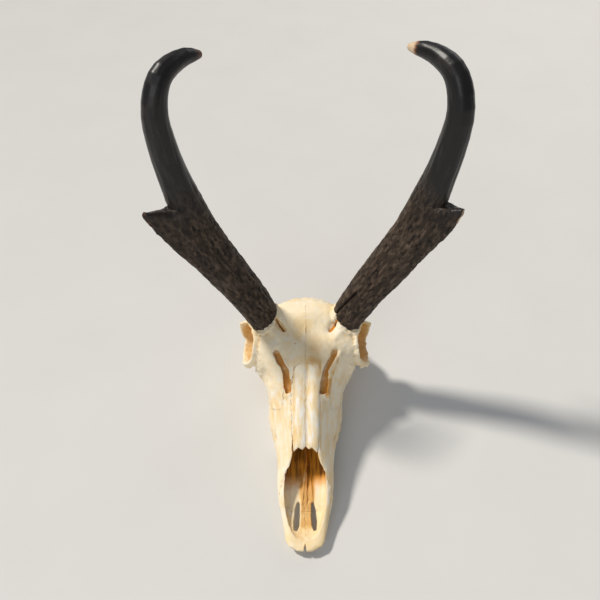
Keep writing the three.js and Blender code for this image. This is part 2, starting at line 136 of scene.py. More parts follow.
print("noise from", round(RANDOM.min(), 3), "to", round(RANDOM.max(), 3))

# %% [markdown]
# ## Steps, bells and distances
# A ridge, a pit or a stain begins and ends softly somewhere on the skull. Painting weights by hand would
# say where, but not how far. A smooth step says where a change begins and ends, a bell how it fades from
# a point or a line, and both work in millimetres.

# %% Where a change begins and ends
def step(start, end, values):
    t = np.clip((values - start) / (end - start), 0, 1)
    return t * t * (3 - 2 * t)


def bell(distance, width):
    return np.exp(-((distance / width) ** 2))


def spot(points, middle, width, stretch=1):
    return bell(np.linalg.norm((points - np.array(middle)) / stretch, axis=1), width)


def away_from(points, line):
    away = np.full(points.shape, 1e6)
    for a, b in zip(np.array(line[:-1], float), np.array(line[1:], float)):
        along = np.clip((points - a) @ (b - a) / ((b - a) @ (b - a)), 0, 1)
        offset = points - a - along[:, None] * (b - a)
        closer = (offset**2).sum(1) < (away**2).sum(1)
        away[closer] = offset[closer]
    return away


def distance_to(points, line):
    return np.linalg.norm(away_from(points, line), axis=1)


def plan_distance(points, line):
    return distance_to(points * [1, 1, 0], np.array(line) * [1, 1, 0])


def side_of(points):
    return np.where(points[:, :1] >= 0, 1.0, -1.0) ** [1, 0, 0]


def mirrored(points):
    return points * side_of(points)


print("a bell falls to", round(float(bell(1, 1)), 3), "at its width")

# %% [markdown]
# ## From facets to bone
# The solids are made of flat facets, and real bone has none. Smooth shading would hide them but leave
# the angular outline. So each solid is filled with small even cells, and the skin over these is relaxed:
# every point moves towards the middle of its neighbours and then most of the way back, so that facets
# fade and the size stays.

# %% Relaxing
def mean_of_neighbours(points, edges):
    count = np.bincount(edges.ravel(), minlength=len(points))
    total = np.empty_like(points)
    for axis in range(3):
        values = points[:, axis]
        total[:, axis] = np.bincount(edges[:, 0], values[edges[:, 1]], len(points))
        total[:, axis] += np.bincount(edges[:, 1], values[edges[:, 0]], len(points))
    return total / np.maximum(count, 1)[:, None]


def relax(points, edges, rounds, freedom, pull=0.5, push=-0.52):
    points = points.copy()
    for _ in range(rounds):
        for strength in (pull, push):
            points += strength * freedom[:, None] * (mean_of_neighbours(points, edges) - points)
    return points


# %% Fine skin over a solid
MERGE = 1e-6


def link(name, data):
    piece = bpy.data.objects.new(name, data)
    bpy.context.scene.collection.objects.link(piece)
    return piece


def fine_skin(node, cell):
    rough = link(node + "_rough", frame["nodes"][node].data.copy())
    form = bmesh.new()
    form.from_mesh(rough.data)
    bmesh.ops.remove_doubles(form, verts=form.verts, dist=MERGE)
    form.to_mesh(rough.data)
    form.free()
    filling = rough.modifiers.new("cells", "REMESH")
    filling.mode = "VOXEL"
    filling.voxel_size = cell / 1000
    filling.use_smooth_shade = True
    filled = rough.evaluated_get(bpy.context.evaluated_depsgraph_get())
    mesh = bpy.data.meshes.new_from_object(filled)
    bpy.data.objects.remove(rough)
    mesh.name = node + "_skin"
    mesh.materials.clear()
    return mesh


print("solids to dress:", ", ".join(frame["nodes"]))

# %% [markdown]
# ## Neighbours
# Two bones meet at a seam, and the skin of each has to know how far its neighbour is. Measuring every
# point against every face would take hours. A search tree finds the nearest face quickly and gives up
# past a short reach.

# %% The way to the next bone
SEAM_REACH = 0.006


def tree_of(names):
    corners, faces = [], []
    for name in names:
        mesh = frame["nodes"][name].data
        faces += [[i + len(corners) for i in face.vertices] for face in mesh.polygons]
        corners += [vertex.co.copy() for vertex in mesh.vertices]
    return BVHTree.FromPolygons(corners, faces)


def way_to(mesh, names):
    tree = tree_of(names)
    far = Vector((0, 0, SEAM_REACH))
    found = [tree.find_nearest(vertex.co, SEAM_REACH)[0] for vertex in mesh.vertices]
    ways = [far if hit is None else hit - vertex.co for hit, vertex in zip(found, mesh.vertices)]
    return np.array(ways) * 1000


print("neighbours are looked for within", SEAM_REACH * 1000, "mm")

# %% [markdown]
# ## The rim of the orbit
# The eye sat in a ring of bone that flares out behind and in front below, and draws in between. A new
# ring could be modelled, but the solid has its true place. So points near the rim are named by their
# angle round it, their radius and their height over it, and are moved outwards or inwards by these.

# %% Places round the orbit
ORBIT = np.array([66, 205, 85])
ORBIT_OUT = np.array([0.913, -0.276, 0.301])
ORBIT_FORE = np.array([-0.262, -0.961, -0.086])
ORBIT_UP = np.array([-0.286, 0.087, 0.954])
RIM_RADIUS = 25
RIM_REACH = 8
RIM_DEPTH = 14


def rim_places(points):
    offset = mirrored(points) - ORBIT
    fore, up, out = offset @ ORBIT_FORE, offset @ ORBIT_UP, offset @ ORBIT_OUT
    return np.degrees(np.arctan2(up, fore)), np.hypot(fore, up), out


def turn_between(angle, middle):
    return (angle - middle + 180) % 360 - 180


def rim_of(points, width):
    _, radius, out = rim_places(points)
    return bell(np.hypot(radius - RIM_RADIUS, out), width)


print("each orbit is", 2 * RIM_RADIUS, "mm across")

# %% Flares of the rim: angle, millimetres outwards, spread of the angle
RIM_FLARES = [(-168, 12, 34), (-120, -6, 25), (-40, 5, 34), (30, 2.5, 30)]


def turned_rim(points):
    angle, radius, out = rim_places(points)
    near = bell(radius - RIM_RADIUS, RIM_REACH) * bell(out, RIM_DEPTH)
    shift = sum(size * bell(turn_between(angle, at), spread) for at, size, spread in RIM_FLARES)
    return points + side_of(points) * ORBIT_OUT * (near * shift)[:, None]


print("the rim moves outwards by up to", max(size for _, size, _ in RIM_FLARES), "mm")

# %% Knobs of the rim: angle, radius, width, height
RIM_KNOBS = [
    (-52, 27, 4.2, 3.2), (-38, 26, 3.4, 2.2), (-22, 27, 3, 1.8), (-8, 26, 3.2, 2),
    (8, 27, 3, 0.8), (-70, 26, 3.4, 1.6), (-30, 31, 3, 2.2), (-12, 32, 2.8, 2),
    (2, 33, 3, 1.6), (-45, 33, 3.2, 1.6), (-20, 36, 2.6, 1.5), (-36, 38, 2.4, 1.2),
]
KNOB_RADII = (24, 27, 30, 38)
KNOB_LEVELS = (0, -0.7, -7, -10.5)
SOCKET = (60, 207, 84)
EYE_NERVE = (33, 222, 76)


def rim_spot(angle, radius):
    turn = math.radians(angle)
    ahead = math.cos(turn) * ORBIT_FORE + math.sin(turn) * ORBIT_UP
    level = np.interp(radius, KNOB_RADII, KNOB_LEVELS)
    return turned_rim((ORBIT + radius * ahead + level * ORBIT_OUT)[None])[0]


def orbit_relief(points, both):
    move = 0.7 * rim_of(both, 5) * clouds(points + 3, 5)
    for angle, radius, width, height in RIM_KNOBS:
        knob = spot(both, rim_spot(angle, radius), width)
        move += height * knob * (0.9 + 0.9 * lumps(points + 5, 2.2))
    inside = step(24, 16, np.linalg.norm(both - SOCKET, axis=1))
    return move + 0.9 * inside * clouds(points + 23, 10) - 5 * spot(both, EYE_NERVE, 5)


print(len(RIM_KNOBS), "knobs round each orbit")

# %% [markdown]
# ## The brow
# Between the horns the brow is gently hollow, with a dome behind, a boss above each slit, a narrow pit
# beside each horn and a small vessel's hole and groove. Sculpting strokes would do. Named places with a
# height and a width are used, because they can be set against the real thing one by one.

# %% Relief of the brow
BROW_LEVEL = (92, 104)
BROW_FORMS = {
    "hollow": ((5, 199), 1.7, 11, -3.0),
    "dome": ((0, 221), 1.8, 12, 1.9),
    "boss": ((20, 181), 1.2, 9, 1.3),
}
EYE_FRONT = (50, 164, 73)
BROW_PIT = [(36, 214, 116), (29, 206, 115), (23, 199, 113)]
PIT_SLIT = [(34.5, 213, 117), (29.5, 207, 115), (26, 202, 113)]
PIT_LEVEL = (98, 103)
BROW_RIDGE = [(41, 205, 113), (36, 199, 112), (30, 193, 110)]
VESSEL = [(-27, 170, 103), (-20, 177, 106.5), (-12, 184, 109.5)]
VESSEL_HOLE = (-13.3, 186.4, 110.3)


def brow_relief(points, both, wavy):
    x, y, z = both.T
    move = np.zeros(len(points))
    for (across, back), stretch, width, height in BROW_FORMS.values():
        form = bell(np.hypot((x - across) / stretch, y - back), width)
        move += height * form * step(*BROW_LEVEL, z)
    move -= 3.4 * spot(both, EYE_FRONT, 9, (1, 1.1, 1.3))
    move -= 1.1 * bell(distance_to(both, BROW_PIT), 4.6)
    move -= 2.8 * bell(plan_distance(wavy, PIT_SLIT), 1.4) * step(*PIT_LEVEL, z)
    move += 1.5 * bell(distance_to(both, BROW_RIDGE), 3.4)
    move -= 0.5 * bell(distance_to(points, VESSEL), 0.7)
    return move - 2.4 * spot(points, VESSEL_HOLE, 0.9)


print(len(BROW_FORMS), "broad forms on the brow")

# %% [markdown]
# ## The face and the nose
# A ridge runs down the cheek, tooth roots show as soft ribs, each nasal bone is a shallow barrel, and a
# low ridge lies on either side of the keel in the floor of the nose. They follow from the same kinds of
# line, with a wave for the ribs because the teeth come at even distances.

# %% Relief of the face and the nose
FACE_RIDGE = [(43, 160, 66), (39, 146, 54), (33, 118, 42), (30, 100, 36)]
CHEEK_KNOB = (38, 132, 34)
ROOT_START = 104
ROOT_PITCH = 10.8
NOSE_SLOPE = 0.49
NOSE_START = 84
NASAL_WIDTH = 14.5
KEEL_Y = (44, 62, 73)
KEEL_X = (5.6, 4.2, 2.6)


def over_nose_line(y, z):
    return z - NOSE_SLOPE * (y - NOSE_START)


def roof_of_nose(x, y, z):
    return step(50, 56, over_nose_line(y, z)) * step(16.5, 15, x)


def face_relief(both, normals):
    _, y, z = both.T
    move = 0.9 * bell(distance_to(both, FACE_RIDGE), 3) + 2.2 * spot(both, CHEEK_KNOB, 9, (1, 1.6, 1))
    ribs = np.cos(2 * math.pi * (y - ROOT_START) / ROOT_PITCH) * step(12, 17, z) * step(36, 22, z)
    ribs *= step(100, 108, y) * step(176, 168, y) * step(0.2, 0.6, np.abs(normals[:, 0]))
    return move + 0.5 * ribs


def nose_relief(both, normals):
    x, y, z = both.T
    nasal = step(170, 160, y) * step(80, 92, y) * roof_of_nose(x, y, z)
    move = 1.7 * np.sin(math.pi * np.clip(x / NASAL_WIDTH, 0, 1)) * nasal
    keel = bell(x - np.interp(y, KEEL_Y, KEEL_X), 1.2) * step(38, 46, y) * step(84, 70, y)
    return move + 2.2 * keel * step(0.2, 0.6, normals[:, 2]) * step(27, 22, z)


print("tooth roots every", ROOT_PITCH, "mm from", ROOT_START, "mm on")

# %% [markdown]
# ## The back of the skull
# Neck muscles were tied to a rough crest across the back of the head, and the bone below it is lumpy
# and full of pores. Ridges along lines give the crest, and noise gives the rest. The pores are real
# hollows in the mesh here, because a bump in the material would not show at the outline.

# %% Relief of the back
NUCHAL_CREST = [(0, 262, 97), (16, 264, 92), (28, 264, 80), (35, 261, 63)]
TEMPLE_LINE = [(42, 234, 106), (36, 244, 101), (27, 255, 94), (17, 263, 92)]
OCCIPUT_RIDGE = [(0, 265, 92), (0, 271, 72)]


def back_relief(points, both):
    y = both[:, 1]
    move = (1.9 + 0.8 * lumps(points, 4)) * bell(distance_to(both, NUCHAL_CREST), 3.2)
    move += 0.8 * bell(distance_to(both, TEMPLE_LINE), 2.2)
    move += 1.2 * bell(distance_to(both, OCCIPUT_RIDGE), 2.6)
    move += 0.7 * step(255, 263, y) * clouds(points + 17, 7)
    porous = np.maximum(rim_of(both, 9), step(252, 260, y))
    return move - 0.55 * porous * step(0.35, 0.75, lumps(points + 200, 2.1))


print("the crest across the back reaches", NUCHAL_CREST[-1][0], "mm to each side")

# %% All relief of a bone
TEAR_SEAM = [(33, 178, 104), (44, 180, 97), (54, 182, 90), (62, 184, 78)]
CHEEK_SEAM = [(62, 184, 78), (54, 176, 66), (46, 170, 58)]
SEAM_WAVE = 0.9
SEAM_STARTS = (0, 40, 80)


def bone_relief(points, normals):
    both = mirrored(points)
    wavy = both + SEAM_WAVE * np.stack([lumps(points + start, 2.6) for start in SEAM_STARTS], 1)
    seams = [distance_to(wavy, line) for line in (TEAR_SEAM, CHEEK_SEAM)]
    seam = np.max([bell(gap, 0.75) for gap in seams], 0)
    move = 0.55 * clouds(points, 22) + 0.1 * clouds(points + 90, 3.2) - 0.25 * seam
    move += brow_relief(points, both, wavy) + face_relief(both, normals)
    move += nose_relief(both, normals) + back_relief(points, both) + orbit_relief(points, both)
    return move, seam


print("fine seams in front of the orbit wave by up to", SEAM_WAVE, "mm")

# %% [markdown]
# ## Slits, cheeks and worn edges
# A long slit opens on each side of the nasal bones, with thin uneven edges. Moving a thin wall along
# its normals would tear it, so the points round the slit are pushed away from its middle line, both
# faces of the wall together. The cheeks are drawn in the same way, and the pits and the upper rim are
# worn soft.

# %% Warps of the face
FACE_SLIT = [(19.6, 141, 74), (22.6, 158, 84), (32, 177, 96)]
SLIT_WIDENING = 1.3
CHEEK_NARROWING = 1.8
VOMER_Y = (40, 56, 76, 100, 146)
VOMER_Z = (13.6, 17.4, 23, 28, 40)


def widened(points):
    both = mirrored(points)
    level = both[:, 2] - 5 - np.interp(both[:, 1], *np.array(FACE_SLIT)[:, 1:].T)
    away = away_from(both * [1, 1, 0], np.array(FACE_SLIT) * [1, 1, 0])
    reach = np.linalg.norm(away, axis=1)
    push = SLIT_WIDENING * bell(reach - 3.6, 2.6) * (1 + 0.8 * lumps(points, 5))
    push *= step(-12, -6, level) * step(14, 9, level)
    return points + side_of(points) * away * (push / np.maximum(reach, 0.5))[:, None]


def narrowed(points):
    x, y, z = points.T
    cheek = step(15, 30, np.abs(x)) * step(176, 160, y) * step(90, 108, y) * step(18, 34, z)
    return points - (CHEEK_NARROWING * np.sign(x) * cheek)[:, None] * [1, 0, 0]


def lowered_crest(points):
    crest = np.maximum(points[:, 2] - np.interp(points[:, 1], VOMER_Y, VOMER_Z), 0)
    return points - (0.6 * crest * step(88, 58, points[:, 1]))[:, None] * [0, 0, 1]


print("slits", SLIT_WIDENING, "mm wider and cheeks", CHEEK_NARROWING, "mm narrower on each side")

# %% Worn pits and rim
PIT_FRONT = [(36, 214, 118), (20, 195, 114)]
BROW_RIM_ANGLE, BROW_RIM_SPREAD = 60, 50
BROW_RIM_RADIUS, BROW_RIM_WIDTH, BROW_RIM_LEVEL = 33, 6, -6


def worn_by_age(points):
    angle, radius, out = rim_places(points)
    rim = bell(radius - BROW_RIM_RADIUS, BROW_RIM_WIDTH) * bell(out - BROW_RIM_LEVEL, RIM_DEPTH)
    rim *= bell(turn_between(angle, BROW_RIM_ANGLE), BROW_RIM_SPREAD)
    pit = bell(plan_distance(mirrored(points), PIT_FRONT), 7) * step(96, 102, points[:, 2])
    return np.maximum(pit, rim)


print("the upper rim is worn most at", BROW_RIM_ANGLE, "degrees")

# %% [markdown]
# ## Teeth and seams
# Six cheek teeth stand on each side, the molars with two lobes. Seams between bones are never straight:
# they wander, their edges stand up a little and they close to a hairline. Knife cuts in the mesh would
# look drawn, so the bones' own edges are moved, and both sides of a seam by the same noise.

# %% Teeth
TOOTH_TOP = 15
TOOTH_FRONT = (98, 102)
TOOTH_ENDS = (104, 112.4, 121.1, 130.1, 142.4, 156.2, 170.5)
LOBE_CLEFTS = (136.2, 149.2, 163.2)


def tooth_share(node, points):
    tooth = step(TOOTH_TOP, TOOTH_TOP - 2, points[:, 2]) * step(*TOOTH_FRONT, points[:, 1])
    return tooth * float(node.startswith("maxilla"))


def tooth_cleft(points, normals):
    y = points[:, 1]
    ends = np.max([bell(y - end, 0.75) for end in TOOTH_ENDS], 0)
    lobes = 0.7 * np.max([bell(y - cleft, 1.0) for cleft in LOBE_CLEFTS], 0)
    return np.maximum(ends, lobes) * step(0.25, 0.6, np.abs(normals[:, 0]))


print(len(TOOTH_ENDS) - 1, "cheek teeth on each side")

# %% Seams
SOLID_GAP = 0.3
WANDER = 0.9
WANDER_STARTS = (11, 53, 97)
SEAM_CLOSING = 0.8
SEAM_LIFT = 0.55
FRONTAL_LIFT = 0.7


def wandering(points, gap, tooth):
    wander = np.stack([lumps(points + start, 3.4) for start in WANDER_STARTS], 1)
    calm = (1 - 0.7 * roof_of_nose(*mirrored(points).T)) * step(0.5, 0.0, tooth)
    return points + (WANDER * calm * bell(gap, 2.5))[:, None] * wander


def flush_normals(normals, way, gap):
    across = way / gap[:, None]
    flush = normals - bell(gap, 1.2)[:, None] * (normals * across).sum(1)[:, None] * across
    open_side = np.linalg.norm(flush, axis=1)
    return flush * (step(0.3, 0.6, open_side) / np.maximum(open_side, 0.3))[:, None]


def seam_lift(node, cell, gap):
    if node.startswith("nasal"):
        return 0
    lift = FRONTAL_LIFT if node.startswith("frontal") else SEAM_LIFT
    return lift * cell * bell(gap - SOLID_GAP, 0.5)


print("seams wander by up to", WANDER, "mm")

# %% [markdown]
# ## Where bone is stained and where shade is painted
# Weather bleaches what stands out and leaves tan and orange stains in the nose, round the slits, in the
# eye sockets and along the seams, and the hollows are tinted tan. Painted shade darkens the deep parts
# of the nose and the slits, the eye sockets and the pits beside the horns, the orange deeper in the nose
# is partly painted shade, and faint painted contact shade lines the foot of each horn. The finish could
# work this out from the shape, but only roughly. Each stain and painted shade is worked out once for
# every point, and the finish reads it from there.

# %% Stains and painted shade of the nose and the slits
NOSE_AXIS = np.array([(10, 22), (42, 34), (84, 40), (150, 62)])


def inside_nose(points, normals):
    x, y, z = mirrored(points).T
    middle = np.interp(y, *NOSE_AXIS.T)
    outward = np.stack([points[:, 0], np.zeros(len(points)), z - middle], 1)
    outward /= np.linalg.norm(outward, axis=1)[:, None] + 1e-6
    facing = (outward * normals).sum(1)
    inside = step(0.35, -0.25, facing) * step(12, 40, y) * step(168, 150, y)
    return inside * step(11, 16, z) * step(30, 25, x)


# The slit mask carries orange stain on the slit walls and painted shade inside the slits.
def slit_stain_and_shade(both):
    near = step(6.8, 5.2, distance_to(both, FACE_SLIT))
    return near * step(6, 4.8, plan_distance(both, FACE_SLIT))


# Painted shade: brown and dark deep in the nose, over the keel, in the slits, in the eye sockets round
# the nerve hole and in the pits beside the horns, where shade falls.
def painted_deep_shade(points, both, inside, slit, pit):
    x, y, z = both.T
    depth = inside * step(58, 100, y + 0.5 * (46 - z))
    septum = step(5.5, 4.5, x) * step(48, 46, over_nose_line(y, z)) * step(160, 150, y)
    _, radius, out = rim_places(points)
    well = 0.36 * step(-12, -38, out) * step(25, 21, radius) * step(150, 175, y)
    well += 0.9 * spot(both, EYE_NERVE, 6)
    slit = slit * (0.4 + 0.22 * lumps(points, 7))
    return np.maximum.reduce([well, depth, 0.8 * pit, slit, septum * step(60, 82, y)])


print("the nose is followed from", NOSE_AXIS[0, 0], "to", NOSE_AXIS[-1, 0], "mm")

# %% Warm patches: middle, width, stretch, strength
WARM_PATCHES = [
    ((8, 180, 107), 15, (1, 1.5, 1), 0.95),
    ((-44, 196, 106), 11, 1, 0.7),
    ((46, 200, 108), 10, 1, 0.6),
    ((-7, 12, 18), 11, 1, 0.8),
]
SOCKET_MOUTH = (62, 207, 84)


def warm_stain_and_nose_shade(points, both, inside, slit, roof, hollow):
    x, y, z = both.T
    patch = sum(size * spot(points, at, width, stretch) for at, width, stretch, size in WARM_PATCHES)
    socket = step(27, 20, np.linalg.norm(both - SOCKET_MOUTH, axis=1))
    bar = step(9, 5, x) * step(14, 24, y) * step(78, 60, y) * step(26, 20, z)
    ridge = bell(distance_to(both + [0, 0, 5], FACE_RIDGE), 4)
    edge = roof * (bell(x - NASAL_WIDTH, 2.2) + 0.8 * bell(x, 1.6))
    # The inside term is orange stain on the walls of the nose and partly painted shade, stronger deeper
    # in.
    warm = 0.55 * patch + (0.18 + 0.4 * step(50, 92, y)) * inside + 0.85 * socket
    warm += 0.75 * bar + 0.35 * ridge + 0.4 * step(0.05, 0.6, hollow) + 0.5 * slit + 0.45 * edge
    return np.clip(warm + 0.3 * bell(y - 168, 5) * step(24, 8, x) * step(90, 98, z), 0, 1)


print(len(WARM_PATCHES), "warm patches, apart from the nose, the sockets and the slits")

# %% All stains and painted shade of a bone
# Dark seam lines, and a faint painted contact shade where the bone meets the horns.
def seam_stain_and_contact_shade(both, roof, gap, seam):
    x, y, _ = both.T
    middle = step(1.8, 1.2, x)
    visible = 0.1 + 0.9 * roof * middle + 0.4 * roof * step(9, 11, x) + 0.4 * middle * step(60, 50, y)
    return np.maximum(np.clip(visible, 0, 1) * bell(gap, 0.5), 0.3 * seam)


def bone_stains_and_shade(points, normals, hollow, gap, seam):
    both = mirrored(points)
    x, y, z = both.T
    roof = roof_of_nose(x, y, z) * step(82, 86, y) * step(172, 160, y)
    inside, slit = inside_nose(points, normals), slit_stain_and_shade(both)
    pit = bell(plan_distance(both, PIT_SLIT), 1.8) * step(*PIT_LEVEL, z)
    face = step(182, 150, y) * step(12, 20, z) * (0.75 + 0.65 * roof)
    return {
        "deep": painted_deep_shade(points, both, inside, slit, pit),
        "seam": seam_stain_and_contact_shade(both, roof, gap, seam),
        "warm": warm_stain_and_nose_shade(points, both, inside, slit, roof, hollow),
        "hollow": hollow,
        "face": np.maximum(face, 2 * pit),
    }

# %% [markdown]
# ## The bones
# Each bone is a piece of its own, because the skull of a young adult still parts along its seams. One
# joined mesh would be simpler and would lose that. The cell size follows the bone: small bones get small
# cells, so that thin edges keep their form and large bones stay light.

# %% Cells of the bones, in millimetres
BONES = {
    "braincase": 0.95,
    "frontal_left": 0.85,
    "frontal_right": 0.85,
    "maxilla_left": 0.75,
    "maxilla_right": 0.75,
    "premaxilla_left": 0.6,
    "premaxilla_right": 0.6,
    "nasal_left": 0.55,
    "nasal_right": 0.55,
    "vomer": 0.45,
}
HORNS = ["horn_left", "horn_right"]
RELAXING = 80
WEARING = 110
HOLLOW_REACH = 16


def relaxed_bone(node, cell, points, edges, gap, tooth):
    freedom = step(SOLID_GAP, 2.4, gap) * (1 - 0.85 * tooth)
    freedom *= 1 - 0.3 * rim_of(points, 5)
    points = relax(points, edges, int(RELAXING / cell), freedom)
    if node.startswith("frontal"):
        worn = worn_by_age(points) * freedom
        points = relax(points, edges, int(WEARING / cell), worn, push=0)
    return points


def horn_collar(node, mesh, points):
    if not node.startswith("frontal"):
        return 0
    gap = np.linalg.norm(way_to(mesh, HORNS), axis=1)
    return 1.6 * bell(gap - 3.2, 2.2) * (1 + 0.6 * lumps(points, 4))


def hollow_of(points, normals, edges, cell):
    soft = points
    for _ in range(int(HOLLOW_REACH / cell)):
        soft = mean_of_neighbours(soft, edges)
    return ((soft - points) * normals).sum(1)


print("cells from", min(BONES.values()), "to", max(BONES.values()), "mm")

# %% One bone
def dressed_bone(node, cell):
    mesh = fine_skin(node, cell)
    edges = edges_of(mesh)
    way = way_to(mesh, [other for other in frame["nodes"] if other != node])
    gap = np.linalg.norm(way, axis=1)
    points = points_of(mesh)
    tooth = tooth_share(node, points)
    points = relaxed_bone(node, cell, points, edges, gap, tooth)
    points = wandering(turned_rim(narrowed(widened(points))), gap, tooth)
    if node == "vomer":
        points = lowered_crest(points)
    set_points(mesh, points)
    normals = normals_of(mesh)
    move, seam = bone_relief(points, normals)
    move += seam_lift(node, cell, gap) + horn_collar(node, mesh, points)
    cleft = tooth * tooth_cleft(points, normals)
    move = (1 - tooth) * move + 0.25 * tooth * lumps(points * [1, 1, 0.25], 2.2) - cleft
    bone_gap = np.linalg.norm(way_to(mesh, [other for other in BONES if other != node]), axis=1)
    points += flush_normals(normals, way, gap) * move[:, None]
    points += (SEAM_CLOSING * step(0.6, 0.4, bone_gap))[:, None] * way
    points[:, 2] = np.maximum(points[:, 2], 0)
    set_points(mesh, points)
    normals = normals_of(mesh)
    hollow = hollow_of(points, normals, edges, cell)
    stains = bone_stains_and_shade(points, normals, hollow, gap, seam)
    for name, values in {**stains, "tooth": tooth, "cleft": cleft}.items():
        keep(mesh, name, values)
    return mesh


# %% Bone pieces
bone_pieces = []
for node, cell in BONES.items():
    piece = link(node + "_bone", dressed_bone(node, cell))
    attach(piece, "root")
    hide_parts(node)
    bone_pieces.append(piece)
    print(node, len(piece.data.vertices), "points")

# %% [markdown]
# ## The line of a horn
# A horn rises outwards and hooks back in at its tip, and the left one reaches a little further than the
# right. A curve object could follow it, but the relief needs numbers. So the middle line is a row of
# points, made dense and smooth, and each point of the skin is given its place along it and round it.

# %% Lines of the two horns
HORN_LINE = np.array([
    (46, 220.5, 117), (66, 226, 158), (84, 229, 195), (101, 233, 233), (113.5, 235, 274),
    (122, 236.5, 325), (122.5, 238, 364), (115, 249, 386), (100, 270, 391), (86.6, 283, 388),
])
HORN_SWAY = {"horn_left": (1, 5, 7, 3), "horn_right": (-1, 0, 0, 0)}
LINE_POINTS = 400


def horn_line(name):
    side, sway, reach, lift = HORN_SWAY[name]
    late = np.linspace(0, 1, len(HORN_LINE)) ** 2
    line = HORN_LINE + np.stack([4 * sway * late * (1 - late), reach * late, lift * late], 1)
    line = line * [side, 1, 1]
    length = np.r_[0, np.cumsum(np.linalg.norm(np.diff(line, axis=0), axis=1))]
    share = np.linspace(0, length[-1], LINE_POINTS)
    dense = np.stack([np.interp(share, length, line[:, k]) for k in range(3)], 1)
    for _ in range(LINE_POINTS // 8):
        dense[1:-1] += 0.5 * (0.5 * (dense[:-2] + dense[2:]) - dense[1:-1])
    return dense, share


for name in HORNS:
    print(name, "is", round(horn_line(name)[1][-1]), "mm along the beam")

# %% Places on a horn
BLADE_FACING = np.array([0.72, -0.66, 0])


def blade_ways(name, dense):
    tangent = np.gradient(dense, axis=0)
    tangent /= np.linalg.norm(tangent, axis=1)[:, None]
    facing = BLADE_FACING * [HORN_SWAY[name][0], 1, 1]
    wide = np.empty_like(dense)
    for i, ahead in enumerate(tangent):
        facing = facing - (facing @ ahead) * ahead
        facing /= np.linalg.norm(facing)
        wide[i] = facing
    return tangent, wide, np.cross(tangent, wide)


def horn_places(points, name):
    dense, share = horn_line(name)
    tree = KDTree(len(dense))
    for i, place in enumerate(dense):
        tree.insert(place, i)
    tree.balance()
    nearest = np.array([tree.find(place)[1] for place in points])
    tangent, wide, thick = (way[nearest] for way in blade_ways(name, dense))
    offset = points - dense[nearest]
    along = share[nearest] + (offset * tangent).sum(1)
    return along, (offset * wide).sum(1), (offset * thick).sum(1), wide, share[-1]


# %% [markdown]
# ## The horn sheaths
# A sheath is hardened hair-like horn round a bony core. Below the prong it is rough and pitted like
# bark, above it is polished, and the left one has split at its foot. A displacement texture would look
# the same all round. Here the relief is stretched along the horn, by the places found above.

# %% Prong, bark and split
HORN_CELL = 0.8
HORN_RELAXING = 60
PRONG_GROWTH = {"horn_left": -5.0, "horn_right": 5.0}
PRONG_LIFT = {"horn_left": 0.0, "horn_right": 5.0}
PRONG_BLUNTING = 3.2
SPLIT = {"horn_left": 1.0, "horn_right": 0.25}
SPLIT_DEPTH = 3.2
PALE = {"horn_left": 1.0, "horn_right": 0.28}


def with_prong(points, node, out, share, wide):
    blunt = PRONG_BLUNTING * bell(out - 32, 5) * step(0.28, 0.46, share)
    points = points + (PRONG_GROWTH[node] * step(22, 42, out) + blunt)[:, None] * wide
    return points + (PRONG_LIFT[node] * step(20, 38, out))[:, None] * [0, 0, 1]


def horn_relief(node, along, out, across):
    around = np.stack([out, across, along], 1)
    strands = clouds(around / [1, 1, 10], 4.6)
    bark = clouds(around / [1, 1, 2.6] + 60, 2.4, 2)
    pits = step(0.2, 0.8, clouds(around / [1, 1, 1.6] + 120, 2.1, 1))
    split = SPLIT[node] * bell(out + 9 - 0.155 * along, 1.2)
    return strands, bark, pits, split * step(0, -5, across) * step(46, 36, along)


print("prongs grow by", list(PRONG_GROWTH.values()), "mm")

# %% One horn
def dressed_horn(node):
    mesh = fine_skin(node, HORN_CELL)
    points = points_of(mesh)
    points = relax(points, edges_of(mesh), HORN_RELAXING, np.ones(len(points)))
    set_points(mesh, points)
    normals = normals_of(mesh)
    along, out, across, wide, length = horn_places(points, node)
    share = along / length
    points = with_prong(points, node, out, share, wide)
    rough = step(0.6, 0.4, share + 0.05 * lumps(points, 18))
    prong = step(29, 38, out + 2 * lumps(points, 6)) * step(0.38, 0.44, share)
    strands, bark, pits, split = horn_relief(node, along, out, across)
    move = rough * (0.55 * bark + 0.5 * strands - 0.7 * pits)
    move += (1 - rough) * (0.2 + 0.3 * step(0.72, 0.5, share)) * strands
    move += 1.2 * prong * clouds(points + 11, 5) - SPLIT_DEPTH * split
    points += normals * move[:, None]
    points[:, 2] += step(0.05, 0.0, share) * 1.8 * lumps(points * [1, 1, 0.3], 5)
    set_points(mesh, points)
    keep(mesh, "tip", PALE[node] * step(0.966, 0.995, share + 0.008 * strands))
    keep(mesh, "rough", rough)
    keep(mesh, "prong", prong * (0.35 + 0.45 * PALE[node]))
    keep(mesh, "strands", strands)
    keep(mesh, "relief", np.clip(bark - 1.2 * pits - 2 * split, -2, 2))
    return mesh


# %% Horn pieces
horn_pieces = []
for node in HORNS:
    piece = link(node + "_sheath", dressed_horn(node))
    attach(piece, "root")
    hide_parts(node)
    horn_pieces.append(piece)
    print(node, len(piece.data.vertices), "points")

# %% [markdown]
# ## Painting with sums
# A finish is a tree of shader nodes, which can be wired by hand in the editor. A small class lets the
# lesson write that tree as sums instead: each value is a wire, and adding or multiplying two wires makes
# the node that does it. All other nodes come from one method.

